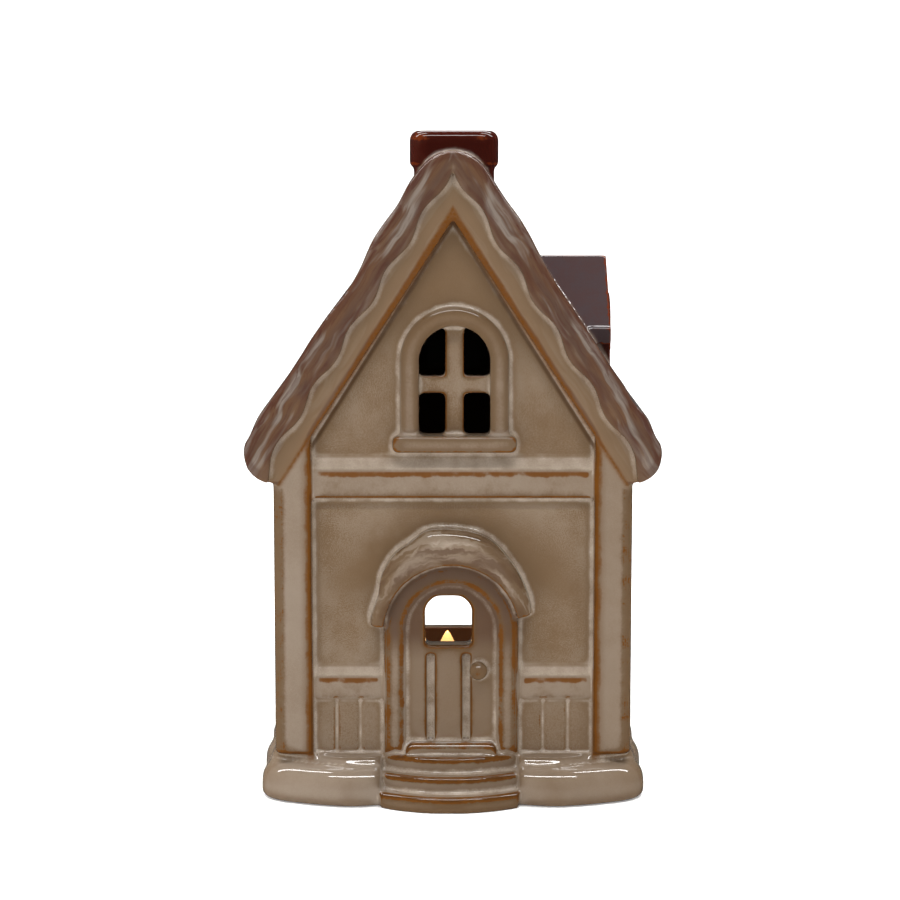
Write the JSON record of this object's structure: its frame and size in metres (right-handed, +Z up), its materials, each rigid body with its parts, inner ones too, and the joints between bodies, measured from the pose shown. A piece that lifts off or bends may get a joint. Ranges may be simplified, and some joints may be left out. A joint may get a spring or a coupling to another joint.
{
  "type": "ceramic tealight house",
  "caption": "Glazed ceramic cottage lantern with a thatched gable roof, dormer, chimney and an arched door, lit by a battery tealight.",
  "frame": {"origin": "middle of the house's foot, on the table, midway between the walls", "axes": "+Z up, -Y out through the front door, +X to the right as seen from the front"},
  "size_m": [0.0931, 0.1152, 0.1506],
  "materials": {
    "wall_glaze": "glossy reactive glaze, taupe, breaking to orange-brown on its edges",
    "roof_glaze": "glossy reactive glaze, purple-brown with grey and red-brown streaks",
    "chimney_glaze": "glossy dark red-brown glaze",
    "housing_plastic": "moulded white plastic",
    "switch_plastic": "moulded black plastic",
    "flame_plastic": "translucent amber plastic, lit",
    "led_resin": "clear yellow resin",
    "cell_steel": "plated steel",
    "contact_brass": "bright strip",
    "board_laminate": "green lacquered laminate"
  },
  "bodies": {
    "house": {"plinth_base": "wall_glaze", "door_steps": "wall_glaze", "front_wall": "wall_glaze", "back_wall": "wall_glaze", "front_gable": "wall_glaze", "back_gable": "wall_glaze", "left_wall": "wall_glaze", "right_wall": "wall_glaze", "left_front_post": "wall_glaze", "left_back_post": "wall_glaze", "right_front_post": "wall_glaze", "right_back_post": "wall_glaze", "front_cornice": "wall_glaze", "back_cornice": "wall_glaze", "left_front_rail": "wall_glaze", "left_front_boards": "wall_glaze", "right_front_rail": "wall_glaze", "right_front_boards": "wall_glaze", "left_side_rail": "wall_glaze", "left_side_boards": "wall_glaze", "right_side_rail": "wall_glaze", "right_side_boards": "wall_glaze", "door_leaf": "wall_glaze", "door_frame": "wall_glaze", "door_knob": "wall_glaze", "door_hood": "wall_glaze", "gable_window_frame": "wall_glaze", "gable_window_bars": "wall_glaze", "gable_window_sill": "wall_glaze", "left_roof_slope": "roof_glaze", "right_roof_slope": "roof_glaze", "front_roof_edge": "roof_glaze", "back_roof_edge": "roof_glaze", "dormer_roof_tiles": "roof_glaze", "chimney": "chimney_glaze", "dormer_walls": "chimney_glaze", "dormer_window": "chimney_glaze"},
    "tealight": {"tealight_housing": "housing_plastic", "flame_lens": "flame_plastic", "tealight_base": "housing_plastic", "battery_door": "housing_plastic", "battery_door_screw": "cell_steel", "coin_cell": "cell_steel", "negative_contact": "contact_brass", "positive_contact": "contact_brass", "circuit_board": "board_laminate", "led": "led_resin", "switch_case": "housing_plastic"},
    "switch": {"switch_slider": "switch_plastic"}
  },
  "joints": [
    {"name": "tealight_lift_out", "type": "slide", "parent": "house", "child": "tealight", "axis": [0, 0.8695, 0.4939], "range_m": [0, 0.09]},
    {"name": "switch_slide", "type": "slide", "parent": "tealight", "child": "switch", "axis": [1, 0, 0], "range_m": [-0.003, 0]}
  ]
}
